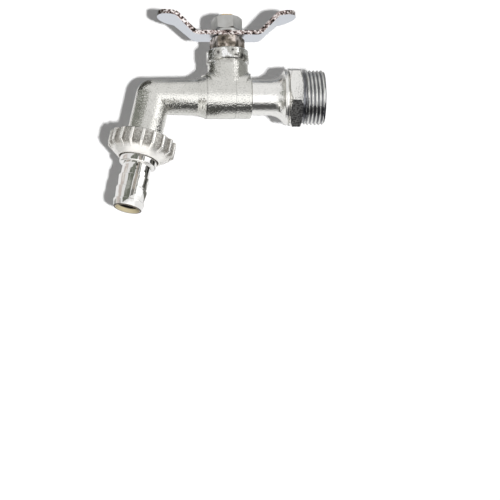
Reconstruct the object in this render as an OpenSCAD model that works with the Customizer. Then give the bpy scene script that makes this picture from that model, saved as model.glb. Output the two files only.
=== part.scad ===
// Hose bib tap: a quarter-turn ball valve with a bent spout, a union nut and a barbed hose tail.
// Millimetres, +Z up. The pipe runs along X: the inlet thread points to +X, the spout to -X.
// The origin is on the pipe axis, halfway along the inlet thread.

/* [Ball and seats] */
// Diameter of the ball
ball_d = 16.4; // [15.4:0.2:17.4]
// Water passage through the ball
ball_bore_d = 10; // [8:0.5:11]
// Running gap between the ball and its seat rings
ball_gap = 0.1; // [0.05:0.05:0.2]
// Length of a seat ring along the pipe
seat_length = 3; // [2.4:0.2:3.6]
// Length of a seat ring behind the flat face of the ball
seat_back = 1.2; // [0.8:0.1:1.6]
// Gap all round a piece that is dropped into its pocket
pocket_gap = 0.1; // [0.05:0.05:0.2]

/* [Valve body] */
// Gap between the ball and the wall of its chamber
chamber_gap = 0.3; // [0.2:0.1:0.6]
// Wall of the ball chamber
chamber_wall = 2; // [1.6:0.1:3]
// Stem axis to the inlet end of the body
body_inlet_run = 10.8; // [10.6:0.1:13.4]
// Stem axis to the edge where the chamber meets the taper
body_outlet_run = 11.4; // [10.6:0.1:13]
// Stem axis to the edge of the machined inlet end
machined_edge_run = 3; // [2:0.2:6]
// Depth of the machined step at the inlet end
machined_step = 0.2; // [0.1:0.05:0.4]
// Length of the taper from the chamber to the spout pipe
taper_length = 4; // [3:0.5:14]
// Outer diameter of the spout's level pipe, at the chamber's taper
spout_d = 17.8; // [16:0.2:20]
// Outer diameter of the spout's leaning pipe and of the elbow
drop_d = 17; // [15.6:0.2:18]
// Water passage of the body and the inlet connector
waterway_d = 12.4; // [10:0.2:13]
// Stem axis to the centre of the elbow
elbow_run = 36.2; // [30:0.2:50]
// Lean of the spout away from the vertical
spout_lean = 13.4; // [0:0.2:30]
// Elbow centre to the top of the outlet thread, along the spout
spout_drop = 20.3; // [18:0.1:40]
// Length of the outlet thread
outlet_thread_length = 5; // [4.4:0.1:12]
// Major diameter of the outlet and inlet threads
pipe_thread_d = 26.44; // [26.44:26.44]
// Chamfer on small edges
edge_chamfer = 0.5; // [0.2:0.1:0.8]

/* [Bonnet] */
// Diameter of the round boss on top of the chamber
boss_d = 19.6; // [19:0.2:21]
// Height of the boss under the groove, above the pipe axis
boss_shoulder_z = 15.4; // [14.6:0.1:17]
// Height of the groove between the boss and its collar
boss_groove_height = 1.2; // [0.8:0.1:1.6]
// Depth of that groove
boss_groove_depth = 0.5; // [0.3:0.1:0.8]
// Radius of the forged fillet between the boss and the pipe
boss_fillet_r = 2.4; // [1.6:0.2:4]
// Diameter of the collar
collar_d = 20.6; // [20:0.2:22]
// Height of the collar's top above the pipe axis
collar_top_z = 22.7; // [22:0.1:26]
// Height of the two stop shoulders cut into the collar
stop_height = 3.4; // [2.4:0.2:4.4]
// Diameter of the core that is left inside the stop cut
stop_core_d = 17.2; // [16.6:0.2:17.4]

/* [Stem and packing] */
// Diameter of the stem
stem_d = 8; // [7:0.2:8.6]
// Running gap round the stem
stem_gap = 0.05; // [0.03:0.01:0.08]
// Thickness of the driving tongue
tang_w = 3.8; // [3:0.1:4.4]
// Width of the driving tongue
tang_length = 7.6; // [6:0.2:8]
// Depth of the slot in the ball
slot_depth = 2.2; // [1.8:0.1:2.4]
// Gap of the tongue in its slot
tang_gap = 0.1; // [0.05:0.05:0.2]
// Diameter of the stem's retaining flange
stem_flange_d = 10.6; // [10.2:0.2:11.4]
// Thickness of the retaining flange
stem_flange_t = 1.3; // [1:0.1:1.6]
// Gap between the top of the ball and the retaining flange
stem_lift = 0.3; // [0.2:0.1:0.5]
// Thickness of the thrust washer on the flange
thrust_washer_t = 0.8; // [0.6:0.1:1.2]
// Length of the plain stem bearing above the thrust washer
bearing_length = 3; // [2.6:0.2:4]
// Thickness of the stem and connector sealing rings
o_ring_t = 1.1; // [1:0.1:1.3]
// Diameter of the packing chamber
packing_d = 11.4; // [11:0.2:12]
// Height of one packing ring
packing_ring_h = 2; // [1.6:0.1:2.4]
// Rise of the vee on a packing ring
packing_vee = 0.6; // [0.4:0.1:0.8]
// Height of the gland follower
follower_h = 1.6; // [1.2:0.1:2]
// Major diameter of the packing nut's thread
packing_thread_d = 13; // [12.6:0.2:13.4]
// Width across flats of the packing nut
packing_nut_af = 14.6; // [14:0.2:15]
// Height of the packing nut's hexagon
packing_nut_h = 6.4; // [5.4:0.2:8]
// Gap under the packing nut's hexagon
packing_nut_gap = 0.4; // [0.2:0.1:0.8]
// Turn of the packing nut's hexagon
packing_nut_turn = 7; // [0:1:59]

/* [Handle] */
// Gap between the packing nut and the handle
handle_gap = 0.6; // [0.4:0.1:1.2]
// Thickness of the handle's sheet
handle_t = 2.2; // [1.8:0.1:2.6]
// Width of the handle at the stem
handle_hub_w = 11; // [10.4:0.2:14]
// Width of the handle at its tips
handle_tip_w = 15; // [13:0.5:20]
// Length of the flat middle of the handle, from the stem
handle_flat_run = 14; // [11:0.2:16]
// Where the handle's sides start to flare, from the stem
handle_flare_x = 17; // [12:0.5:19]
// Angle of the rising part of a wing
handle_rise_angle = 44.5; // [30:0.5:50]
// Length of the rising part of a wing
handle_rise_length = 10.5; // [8:0.5:16]
// Angle of the outer part of a wing
handle_tip_angle = 12; // [0:1:20]
// Length of the outer part of a wing
handle_tip_length = 8; // [6:0.5:12]
// Inner radius of the bends
handle_bend_r = 2.4; // [1.6:0.2:4]
// Width across the two flats of the stem's end
stem_flats_w = 6; // [5.4:0.2:6.4]
// Gap of the handle's hole on the stem
handle_hole_gap = 0.05; // [0.03:0.01:0.1]
// Width of the stop lug
stop_lug_w = 5; // [4:0.2:6]
// Gap between the lug and its stops, and round the core
stop_gap = 0.3; // [0.2:0.05:0.4]
// Thickness of the spring washer
spring_washer_t = 1.1; // [0.8:0.1:1.6]
// Diameter of the spring washer
spring_washer_d = 12.6; // [12:0.2:13]
// Width across flats of the handle nut
handle_nut_af = 13; // [12:0.5:14]
// Height of the handle nut
handle_nut_h = 6.5; // [5:0.5:8]
// Turn of the handle nut's hexagon at rest
handle_nut_turn = 11; // [0:1:59]
// Length of stem above the handle nut
stem_proud = 1.6; // [1:0.2:3]

/* [Inlet connector] */
// Radial step from the ball chamber to the connector's thread
connector_step = 0.5; // [0.4:0.1:0.8]
// Diameter of the connector's neck
neck_d = 17.4; // [16.6:0.2:19]
// Length of the straight neck
neck_length = 8.6; // [5:0.2:15]
// Radius of the flare between the neck and the flange
flare_r = 8; // [6:0.5:8.5]
// Diameter of the rounded flange
flange_d = 26.8; // [26:0.2:28]
// Thickness of the rounded flange
flange_t = 2.2; // [1.8:0.1:3]
// Width across flats of the inlet hexagon
inlet_hex_af = 27; // [26.6:0.2:30]
// Length of the inlet hexagon
inlet_hex_length = 6.2; // [5:0.2:10]
// Turn of the inlet hexagon about the pipe axis
inlet_hex_turn = 52; // [0:1:59]
// Width of the relief between the hexagon and the thread
relief_w = 1; // [0.6:0.1:2]
// Depth of that relief
relief_depth = 1.3; // [1:0.1:1.6]
// Length of the inlet thread
inlet_thread_length = 10; // [8:0.5:16]
// Diameter of the recess in the inlet end
inlet_recess_d = 18.4; // [16:0.2:20]
// Depth of the recess in the inlet end
inlet_recess_depth = 14; // [8:0.5:16]

/* [Union nut and hose tail] */
// Number of grip ribs on the union nut
rib_count = 18; // [12:1:24]
// Width of a grip rib
rib_w = 1.7; // [1.4:0.1:2.6]
// Height of a grip rib
rib_h = 1.3; // [0.8:0.1:1.8]
// Bevel along the top edges of a grip rib
rib_bevel = 0.4; // [0.2:0.1:0.5]
// Turn of the ribs about the spout at rest
rib_turn = 12; // [0:1:19]
// Wall of the union nut between its ribs, outside its thread
nut_wall = 1.6; // [1.2:0.05:2.6]
// Length of outlet thread left bare above the union nut
bare_thread = 1.2; // [0:0.1:1.6]
// Radial gap of the union nut on the outlet thread
nut_thread_gap = 0.08; // [0.05:0.01:0.1]
// Thickness of the union nut's lip
nut_lip_t = 3.9; // [3:0.1:5]
// Width of the ring at the cone's end, round the nut's opening
nut_ring_w = 0.8; // [0.6:0.1:2.4]
// Height of the cone under the union nut
nut_cone_h = 4.6; // [3:0.1:5]
// How far the recesses between the ribs run out on the cone
nut_runout = 2.2; // [1.2:0.1:2.6]
// Thickness of the tail gasket
gasket_t = 1.6; // [1.2:0.1:2.4]
// Inner diameter of the tail gasket
gasket_bore_d = 14; // [13:0.2:16]
// Thickness of the tail's flange
tail_flange_t = 1.6; // [1.4:0.1:2.4]
// Gap round the tail's flange and gasket inside the nut
tail_flange_gap = 0.6; // [0.4:0.1:0.8]
// Diameter of the collar that stands in the nut's opening
tail_collar_d = 17.8; // [17:0.2:18.4]
// Length of that collar below the flange
tail_collar_length = 7.2; // [4.6:0.1:9]
// Gap between the collar and the nut's opening
tail_collar_gap = 0.6; // [0.4:0.1:0.8]
// Outer diameter of the barbs
barb_d = 15; // [14.4:0.1:16]
// Diameter between the barbs
barb_root_d = 13.7; // [13.4:0.1:14]
// Water passage through the tail
tail_bore_d = 11.6; // [10:0.2:12.2]
// Number of barbs
barb_count = 3; // [2:1:5]
// Spacing of the barbs
barb_pitch = 6.1; // [5:0.1:8]
// Flange to the first barb
barb_start = 13.3; // [10:0.1:20]
// Length of the nose beyond the last barb
tail_nose_length = 3.5; // [2.8:0.1:6]

/* [Hidden] */
$fn = 96;
over = 1; // how far a cutter runs past the face that it opens
hair = 0.01; // keeps two faces from lying in one place
ball_cover = 0.06; // how far the elbow's balls stand out from the pipes that they join
flare_edge_inset = 0.3; // the flare ends this far inside the flange's rim

// Ball and seats, as radii and distances from the ball's centre
ball_r = ball_d / 2;
ball_bore_r = ball_bore_d / 2;
ball_flat_x = sqrt(ball_r * ball_r - ball_bore_r * ball_bore_r);
seat_end_x = ball_flat_x + seat_back;
chamber_r = ball_r + chamber_gap;
body_r = chamber_r + chamber_wall;
waterway_r = waterway_d / 2;
spout_r = spout_d / 2;
taper_end_x = body_outlet_run + taper_length;
thread_r = pipe_thread_d / 2;

// Inlet connector, as distances from the stem axis
connector_r = chamber_r + connector_step;
neck_r = neck_d / 2;
flare_start_x = body_inlet_run + neck_length;
flare_top_r = flange_d / 2 - flare_edge_inset;
flare_length = sqrt(pow(flare_r, 2) - pow(neck_r + flare_r - flare_top_r, 2));
flange_x = flare_start_x + flare_length;
inlet_hex_x = flange_x + flange_t;
relief_x = inlet_hex_x + inlet_hex_length;
inlet_thread_x = relief_x + relief_w;
inlet_end_x = inlet_thread_x + inlet_thread_length;
origin_x = inlet_thread_x + inlet_thread_length / 2;
connector_groove_x = body_inlet_run - edge_chamfer - o_ring_t - 2 * pocket_gap;

// Stem stack, as heights above the pipe axis
slot_floor_z = ball_r - slot_depth;
stem_flange_z = ball_r + stem_lift;
thrust_washer_z = stem_flange_z + stem_flange_t;
bearing_z = thrust_washer_z + thrust_washer_t;
packing_z = bearing_z + bearing_length;
follower_z = packing_z + 2 * packing_ring_h;
packing_nut_end_z = follower_z + follower_h;
packing_hex_z = collar_top_z + packing_nut_gap;
packing_top_z = packing_hex_z + packing_nut_h;
handle_z = packing_top_z + handle_gap;
spring_washer_z = handle_z + handle_t;
handle_nut_z = spring_washer_z + spring_washer_t;
stem_end_z = handle_nut_z + handle_nut_h + stem_proud;
stem_r = stem_d / 2;
stem_seal_z = bearing_z + bearing_length / 2;
collar_z = boss_shoulder_z + boss_groove_height;
fillet_sink = 0.35; // how far the fillet's foot lies inside the pipe, so that it runs out on the taper
fillet_foot_z = body_r - machined_step - fillet_sink;
stop_z = collar_top_z - stop_height;

// Handle, from the stem axis; the wings' bend centres are in X and Z above the handle's lower face
bend_steps = 8;
lug_bend_r = 1; // inner radius of the stop lug's bend
lug_inner_y = stop_core_d / 2 + stop_gap;
lug_outer_y = lug_inner_y + handle_t;
rise_normal = [sin(handle_rise_angle), -cos(handle_rise_angle)];
rise_along = [cos(handle_rise_angle), sin(handle_rise_angle)];
wing_bend_low = [handle_flat_run, handle_t + handle_bend_r];
wing_bend_high = wing_bend_low + handle_rise_length * rise_along
    + (handle_t + 2 * handle_bend_r) * rise_normal;
wing_reach = wing_bend_high[0] - handle_bend_r * sin(handle_tip_angle)
    + handle_tip_length * cos(handle_tip_angle);
handle_tip_x = wing_reach - handle_tip_w / 2;

// Union stack, as distances along the spout from the elbow's centre
outlet_end_s = spout_drop + outlet_thread_length;
tail_flange_s = outlet_end_s + gasket_t;
nut_lip_s = tail_flange_s + tail_flange_t;
nut_end_s = nut_lip_s + nut_lip_t;
nut_top_s = spout_drop + bare_thread;
nut_cone_s = nut_end_s - nut_cone_h;
nut_bore_r = thread_r + nut_thread_gap;
nut_opening_r = tail_collar_d / 2 + tail_collar_gap;
nut_root_r = nut_bore_r + nut_wall;
nut_cone_r = nut_opening_r + nut_ring_w;
rib_r = nut_root_r + rib_h;
nut_land_inset = 0.15; // keeps the end of a recess just under the cone
nut_land_s = nut_cone_s + nut_runout;
nut_land_r = rib_r - (rib_r - nut_cone_r) * nut_runout / nut_cone_h - nut_land_inset;
tail_flange_r = nut_bore_r - tail_flange_gap;
tail_end = barb_start + (barb_count - 1) * barb_pitch + tail_nose_length;

// The ball's centre lies on the origin of the pieces; this moves it to its place on the tap
module at_valve() translate([-origin_x, 0, 0]) children();
// Pieces turned about the pipe axis
module along_pipe() at_valve() rotate([0, 90, 0]) children();
// Pieces on the leaning spout: their own +Z runs down the spout from the elbow's centre
module along_spout() at_valve() translate([-elbow_run, 0, 0]) rotate([0, 180 + spout_lean, 0]) children();

// A tube between two heights
module tube(outer_r, inner_r, low, high)
    translate([0, 0, low]) difference() {
        cylinder(r = outer_r, h = high - low);
        translate([0, 0, -over]) cylinder(r = inner_r, h = high - low + 2 * over);
    }

// A round bar with both end edges chamfered
module bar(r, low, high, c = edge_chamfer) {
    translate([0, 0, low]) rotate_extrude()
        polygon([[0, 0], [r - c, 0], [r, c], [r, high - low - c], [r - c, high - low], [0, high - low]]);
}

// A hexagonal bar whose corners are turned off at 30 degrees
module hex_bar(af, low, high) {
    corner_r = af / sqrt(3);
    rise = (corner_r - af / 2) * tan(30);
    intersection() {
        translate([0, 0, low]) cylinder(r = corner_r, h = high - low, $fn = 6);
        translate([0, 0, low]) rotate_extrude() polygon([
            [0, 0], [af / 2, 0], [corner_r + hair, rise + hair],
            [corner_r + hair, high - low - rise - hair], [af / 2, high - low], [0, high - low]
        ]);
    }
}

// A sealing ring of round section, centred on a height
module round_ring(mid_r, t, z)
    translate([0, 0, z]) rotate_extrude() translate([mid_r, 0]) circle(d = t, $fn = 48);

// Outer form of the ball chamber, its taper and the spout's level pipe
module pipe_form() rotate([0, 90, 0]) {
    translate([0, 0, -body_outlet_run]) cylinder(r = body_r, h = body_outlet_run + machined_edge_run);
    bar(body_r - machined_step, 0, body_inlet_run);
    translate([0, 0, -taper_end_x])
        cylinder(r1 = spout_r, r2 = body_r - machined_step, h = taper_length + over / 2);
    translate([0, 0, -elbow_run])
        cylinder(r1 = drop_d / 2, r2 = spout_r, h = elbow_run - taper_end_x + over / 2);
}

// Fillet round the foot of the boss: a concave skirt turned about the stem, kept under a round arch
// along the pipe, so that it is full at both ends of the pipe and dies out at the sides
module boss_fillet() intersection() {
    rotate_extrude() difference() {
        square([boss_d / 2 + boss_fillet_r, fillet_foot_z + boss_fillet_r]);
        translate([boss_d / 2 + boss_fillet_r, fillet_foot_z + boss_fillet_r]) circle(r = boss_fillet_r);
    }
    translate([-body_r - taper_length, 0, fillet_foot_z + boss_fillet_r - boss_d / 2]) rotate([0, 90, 0])
        cylinder(d = boss_d - fillet_sink, h = body_r + taper_length + body_inlet_run - edge_chamfer);
}

// Outer form of the boss, its fillet, its groove and its collar with the stop cut
module bonnet_form() {
    boss_fillet();
    cylinder(d = boss_d, h = boss_shoulder_z);
    cylinder(r = boss_d / 2 - boss_groove_depth, h = collar_z + over / 2);
    difference() {
        bar(collar_d / 2, collar_z, collar_top_z);
        difference() {
            translate([-stop_lug_w / 2 - stop_gap, -stop_lug_w / 2 - stop_gap, stop_z])
                cube([collar_d, collar_d, stop_height + over]);
            cylinder(d = stop_core_d, h = collar_top_z + 2 * over);
        }
    }
}

module valve_body() color("silver") difference() {
    union() {
        at_valve() pipe_form();
        at_valve() bonnet_form();
        along_spout() {
            sphere(r = drop_d / 2 + ball_cover);
            cylinder(d = drop_d, h = spout_drop + over / 2);
            bar(thread_r, spout_drop, outlet_end_s);
        }
    }
    // waterway, ball chamber and the thread for the connector
    along_pipe() {
        translate([0, 0, -elbow_run]) cylinder(r = waterway_r, h = elbow_run);
        translate([0, 0, -seat_end_x]) cylinder(r = chamber_r, h = 2 * seat_end_x);
        translate([0, 0, seat_end_x]) cylinder(r = connector_r + pocket_gap, h = body_inlet_run);
    }
    along_spout() {
        sphere(r = waterway_r + ball_cover);
        cylinder(r = waterway_r, h = outlet_end_s + over);
    }
    // stem bores: flange pocket, bearing, packing chamber and packing nut thread
    at_valve() {
        cylinder(r = stem_flange_d / 2 + pocket_gap, h = bearing_z);
        cylinder(r = stem_r + stem_gap, h = packing_z + over);
        translate([0, 0, packing_z]) cylinder(d = packing_d, h = collar_top_z);
        translate([0, 0, packing_nut_end_z - over / 2])
            cylinder(r = packing_thread_d / 2 + pocket_gap, h = collar_top_z);
    }
}

// One seat ring, between the ball and its shoulder on the +X side
module seat_ring() difference() {
    rotate([0, 90, 0])
        tube(chamber_r - pocket_gap, ball_bore_r + chamber_gap, seat_end_x - seat_length, seat_end_x);
    sphere(r = ball_r + ball_gap);
}

module seat_ring_outlet() color("white") at_valve() mirror([1, 0, 0]) seat_ring();
module seat_ring_inlet() color("white") at_valve() seat_ring();

module ball() color("gainsboro") at_valve() difference() {
    sphere(r = ball_r);
    rotate([0, 90, 0]) translate([0, 0, -ball_d]) cylinder(r = ball_bore_r, h = 2 * ball_d);
    translate([-tang_w / 2 - tang_gap, -ball_d, slot_floor_z])
        cube([tang_w + 2 * tang_gap, 2 * ball_d, ball_d]);
}

module connector_seal() color("black") along_pipe()
    round_ring(connector_r + pocket_gap - o_ring_t / 2 - 0.02, o_ring_t, connector_groove_x + o_ring_t / 2);

module inlet_connector() color("silver") along_pipe() difference() {
    union() {
        translate([0, 0, seat_end_x]) cylinder(r = connector_r, h = body_inlet_run - seat_end_x);
        translate([0, 0, body_inlet_run]) cylinder(r = neck_r, h = flange_x - body_inlet_run);
        // flare, a concave quarter turned about the pipe
        rotate_extrude() difference() {
            translate([0, flare_start_x]) square([flare_top_r, flare_length + over / 2]);
            translate([neck_r + flare_r, flare_start_x]) circle(r = flare_r);
        }
        // flange with a rounded rim
        translate([0, 0, flange_x]) rotate_extrude() {
            square([flange_d / 2 - flange_t / 2, flange_t]);
            translate([flange_d / 2 - flange_t / 2, flange_t / 2]) circle(d = flange_t);
        }
        rotate([0, 0, inlet_hex_turn]) hex_bar(inlet_hex_af, inlet_hex_x, relief_x);
        translate([0, 0, flange_x])
            cylinder(r = thread_r - relief_depth, h = inlet_thread_x + over - flange_x);
        bar(thread_r, inlet_thread_x, inlet_end_x, 2 * edge_chamfer);
    }
    translate([0, 0, seat_end_x - over]) cylinder(r = waterway_r, h = inlet_end_x);
    translate([0, 0, inlet_end_x - inlet_recess_depth]) {
        cylinder(d = inlet_recess_d, h = inlet_recess_depth + over);
        translate([0, 0, waterway_r - inlet_recess_d / 2])
            cylinder(r1 = waterway_r, r2 = inlet_recess_d / 2, h = inlet_recess_d / 2 - waterway_r);
    }
    // groove of the connector's seal
    translate([0, 0, connector_groove_x - pocket_gap])
        tube(connector_r + over, connector_r - o_ring_t, 0, o_ring_t + 2 * pocket_gap);
}

module stem() color("khaki") at_valve() difference() {
    union() {
        intersection() {
            translate([-tang_w / 2, -tang_length / 2, slot_floor_z + tang_gap])
                cube([tang_w, tang_length, stem_flange_z + stem_flange_t / 2 - slot_floor_z]);
            cylinder(d = stem_flange_d, h = bearing_z);
        }
        translate([0, 0, stem_flange_z]) cylinder(d = stem_flange_d, h = stem_flange_t);
        bar(stem_r, stem_flange_z, stem_end_z);
    }
    // two flats for the handle, up to the stem's end
    for (side = [0, 180]) rotate([0, 0, side])
        translate([-stem_d, stem_flats_w / 2, handle_z]) cube([2 * stem_d, stem_d, stem_end_z]);
    // groove of the stem's seal
    tube(stem_r + over, stem_r - o_ring_t, stem_seal_z - o_ring_t / 2 - pocket_gap,
         stem_seal_z + o_ring_t / 2 + pocket_gap);
}

module stem_thrust_washer() color("white") at_valve()
    tube(stem_flange_d / 2, stem_r + stem_gap, thrust_washer_z, bearing_z);

module stem_seal() color("black") at_valve()
    round_ring(stem_r + stem_gap - o_ring_t / 2 - 0.02, o_ring_t - 0.04, stem_seal_z);

// A packing ring with a vee on both faces, so that the rings nest
module packing_ring(z) at_valve() {
    inner = stem_r + stem_gap;
    outer = packing_d / 2 - pocket_gap;
    mid = (inner + outer) / 2;
    translate([0, 0, z]) rotate_extrude() polygon([
        [inner, 0], [mid, packing_vee], [outer, 0],
        [outer, packing_ring_h], [mid, packing_ring_h + packing_vee], [inner, packing_ring_h]
    ]);
}

module packing_ring_lower() color("white") packing_ring(packing_z);
module packing_ring_upper() color("white") packing_ring(packing_z + packing_ring_h);

module gland_follower() color("goldenrod") at_valve() {
    inner = stem_r + stem_gap;
    outer = packing_d / 2 - pocket_gap;
    mid = (inner + outer) / 2;
    translate([0, 0, follower_z]) rotate_extrude() polygon([
        [inner, 0], [mid, packing_vee], [outer, 0], [outer, follower_h], [inner, follower_h]
    ]);
}

module packing_nut() color("silver") at_valve() difference() {
    union() {
        rotate([0, 0, -packing_nut_turn]) hex_bar(packing_nut_af, packing_hex_z, packing_top_z);
        translate([0, 0, packing_nut_end_z])
            cylinder(d = packing_thread_d, h = packing_hex_z - packing_nut_end_z + over / 2);
    }
    cylinder(r = stem_r + stem_gap, h = packing_top_z + over);
}

// Points of a bend: from one angle to another round a centre, at a radius; 0 degrees points down
function bend(centre, r, from, to) =
    [for (i = [0 : bend_steps]) let (a = from + (to - from) * i / bend_steps) centre + r * [sin(a), -cos(a)]];

// One face of a wing in X and Z, from the flat middle to the tip, at a height in the sheet
function wing_face(h) = concat(
    bend(wing_bend_low, handle_bend_r + handle_t - h, 0, handle_rise_angle),
    bend(wing_bend_high, -handle_bend_r - h, handle_rise_angle, handle_tip_angle),
    [wing_bend_high - (handle_bend_r + h) * [sin(handle_tip_angle), -cos(handle_tip_angle)]
        + handle_tip_length * [cos(handle_tip_angle), sin(handle_tip_angle)]]
);

function reversed(points) = [for (i = [len(points) - 1 : -1 : 0]) points[i]];
function mirrored(points) = [for (p = points) [-p[0], p[1]]];

// Side view of the handle: a flat middle and two wings that rise and then level out
module handle_side() polygon(concat(
    mirrored(reversed(wing_face(0))), wing_face(0),
    reversed(wing_face(handle_t)), mirrored(wing_face(handle_t))
));

// Plan of the handle: a waist at the stem that flares to two rounded tips
module handle_plan() for (side = [0, 180]) rotate(side) {
    polygon([
        [-over, -handle_hub_w / 2], [handle_flare_x, -handle_hub_w / 2],
        [handle_tip_x, -handle_tip_w / 2], [handle_tip_x, handle_tip_w / 2],
        [handle_flare_x, handle_hub_w / 2], [-over, handle_hub_w / 2]
    ]);
    translate([handle_tip_x, 0]) circle(d = handle_tip_w);
}

// Side view of the stop lug in Y and Z: out of the flat middle, round a bend and down to the stops
module lug_side() polygon(concat(
    [[0, handle_z]], bend_down(lug_bend_r),
    [[lug_inner_y, stop_z + stop_gap], [lug_outer_y, stop_z + stop_gap]],
    reversed(bend_down(lug_bend_r + handle_t)), [[0, spring_washer_z]]
));
function bend_down(r) = [for (i = [0 : bend_steps]) let (a = 90 - 90 * i / bend_steps)
    [lug_inner_y - lug_bend_r + r * cos(a), handle_z - lug_bend_r + r * sin(a)]];

module handle() color("lightsteelblue") at_valve() difference() {
    union() {
        intersection() {
            translate([0, handle_tip_w, handle_z]) rotate([90, 0, 0]) linear_extrude(2 * handle_tip_w)
                handle_side();
            translate([0, 0, handle_z - over]) linear_extrude(stem_end_z) handle_plan();
        }
        translate([-stop_lug_w / 2, 0, 0]) rotate([90, 0, 90]) linear_extrude(stop_lug_w) lug_side();
    }
    // hole with two flats
    intersection() {
        translate([0, 0, handle_z - over]) cylinder(r = stem_r + handle_hole_gap, h = handle_t + 2 * over);
        translate([-stem_d, -stem_flats_w / 2 - handle_hole_gap, handle_z - 2 * over])
            cube([2 * stem_d, stem_flats_w + 2 * handle_hole_gap, handle_t + 4 * over]);
    }
}

module spring_washer() color("gray") at_valve() difference() {
    tube(spring_washer_d / 2, stem_r + pocket_gap, spring_washer_z, handle_nut_z);
    // the cut that lets it spring
    translate([0, -spring_washer_t / 2, spring_washer_z - over])
        cube([spring_washer_d, spring_washer_t, spring_washer_t + 2 * over]);
}

module handle_nut() color("silver") at_valve() difference() {
    rotate([0, 0, -handle_nut_turn]) hex_bar(handle_nut_af, handle_nut_z, handle_nut_z + handle_nut_h);
    cylinder(r = stem_r + stem_gap, h = stem_end_z + over);
}

module tail_gasket() color("dimgray") along_spout()
    tube(tail_flange_r, gasket_bore_d / 2, outlet_end_s, tail_flange_s);

// The hose tail's own Z starts at the top of its flange
module hose_tail() color("gainsboro") along_spout() translate([0, 0, tail_flange_s]) difference() {
    union() {
        cylinder(r = tail_flange_r, h = tail_flange_t);
        bar(tail_collar_d / 2, tail_flange_t / 2, tail_flange_t + tail_collar_length, 2 * edge_chamfer);
        cylinder(d = barb_root_d, h = tail_flange_t + barb_start + over / 2);
        // barbs: a sharp edge on the nut's side and a cone towards the free end
        for (i = [0 : barb_count - 1]) translate([0, 0, tail_flange_t + barb_start + i * barb_pitch])
            cylinder(d1 = barb_d, d2 = barb_root_d,
                     h = i == barb_count - 1 ? tail_nose_length : barb_pitch);
    }
    translate([0, 0, -over]) cylinder(d = tail_bore_d, h = tail_flange_t + tail_end + 2 * over);
}

// Cross-section of a grip rib, from inside the nut's wall outwards
module rib_section() polygon([
    [nut_land_r - over, -rib_w / 2], [rib_r - rib_bevel, -rib_w / 2],
    [rib_r + rib_bevel / 2, 1.5 * rib_bevel - rib_w / 2],
    [rib_r + rib_bevel / 2, rib_w / 2 - 1.5 * rib_bevel],
    [rib_r - rib_bevel, rib_w / 2], [nut_land_r - over, rib_w / 2]
]);

// Outer limit of the union nut: round at the ribs, with a cone that runs down to the nut's opening
module nut_limit() rotate_extrude() polygon([
    [0, nut_top_s], [rib_r - rib_bevel, nut_top_s], [rib_r, nut_top_s + rib_bevel],
    [rib_r, nut_cone_s], [nut_cone_r, nut_end_s], [0, nut_end_s]
]);

// The union nut without its ribs: the floor of the recesses, which draws in and runs out on the cone
module nut_core() rotate_extrude() polygon([
    [0, nut_top_s], [nut_root_r - edge_chamfer, nut_top_s], [nut_root_r, nut_top_s + edge_chamfer],
    [nut_root_r, nut_cone_s], [nut_land_r, nut_land_s], [nut_land_r, nut_end_s + over], [0, nut_end_s + over]
]);

module union_nut() color("silver") along_spout() difference() {
    intersection() {
        nut_limit();
        union() {
            nut_core();
            for (i = [0 : rib_count - 1]) rotate([0, 0, rib_turn + i * 360 / rib_count])
                translate([0, 0, nut_top_s]) linear_extrude(nut_end_s - nut_top_s) rib_section();
        }
    }
    translate([0, 0, nut_top_s - over]) cylinder(r = nut_bore_r, h = nut_lip_s - nut_top_s + over);
    cylinder(r = nut_opening_r, h = nut_end_s + over);
}

valve_body();
seat_ring_outlet();
ball();
seat_ring_inlet();
connector_seal();
inlet_connector();
stem();
stem_thrust_washer();
stem_seal();
packing_ring_lower();
packing_ring_upper();
gland_follower();
packing_nut();
handle();
spring_washer();
handle_nut();
tail_gasket();
hose_tail();
union_nut();
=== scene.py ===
"""Hose bib tap: a nickel-plated ball valve with a handle, a threaded inlet, a union nut and a tail."""

import math

import bmesh
import bpy
from mathutils import Matrix, Vector


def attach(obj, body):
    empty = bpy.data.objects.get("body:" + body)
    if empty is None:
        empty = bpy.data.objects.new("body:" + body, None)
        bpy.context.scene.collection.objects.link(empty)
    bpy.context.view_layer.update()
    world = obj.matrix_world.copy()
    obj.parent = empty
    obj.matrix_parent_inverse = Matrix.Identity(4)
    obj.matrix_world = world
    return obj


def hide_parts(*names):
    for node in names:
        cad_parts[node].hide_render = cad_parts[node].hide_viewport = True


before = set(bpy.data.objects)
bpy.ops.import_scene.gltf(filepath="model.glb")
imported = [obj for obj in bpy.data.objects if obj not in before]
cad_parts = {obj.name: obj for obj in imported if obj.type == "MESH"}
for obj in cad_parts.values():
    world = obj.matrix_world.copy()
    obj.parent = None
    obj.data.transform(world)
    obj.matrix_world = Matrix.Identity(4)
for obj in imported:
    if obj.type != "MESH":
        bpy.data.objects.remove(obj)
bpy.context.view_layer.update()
scene = bpy.context.scene
scene.view_settings.view_transform = "Standard"

# ---- Valve body --------------------------------------------------------------------------------
# Forged brass, bead-blasted and nickel plated, so it is satin with a fine grain. The inlet end and
# the outlet's thread are turned; the connector screws into one and the union nut onto the other.
MM = 0.001
STEM_X = -40.944  # stem axis on the pipe, in the tap's frame
NICKEL = "e9e8e4"
NICKEL_DARK = "cac9c3"
BLAST_GRAIN = 0.75  # the real grain is about 0.3 mm, too fine to show, so it is drawn coarser
REFLECTION_PATCHES_FROM, REFLECTION_PATCHES_FULL = 13.5, 16.5  # heights between which the collar's painted reflections come in
# painted shade lines in the corners of the shoulders, from the stem axis: where a line lies, half its width
# in mm, and how much it darkens
SHOULDER_SHADE_LINES = ((-10.9, 0.5, 0.78), (3.0, 0.35, 0.85))


def linear(hex_colour):
    """sRGB hex to a linear colour with alpha."""
    channels = [int(hex_colour[i:i + 2], 16) / 255 for i in (0, 2, 4)]
    return tuple(c / 12.92 if c <= 0.04045 else ((c + 0.055) / 1.055) ** 2.4 for c in channels) + (1.0,)


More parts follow.
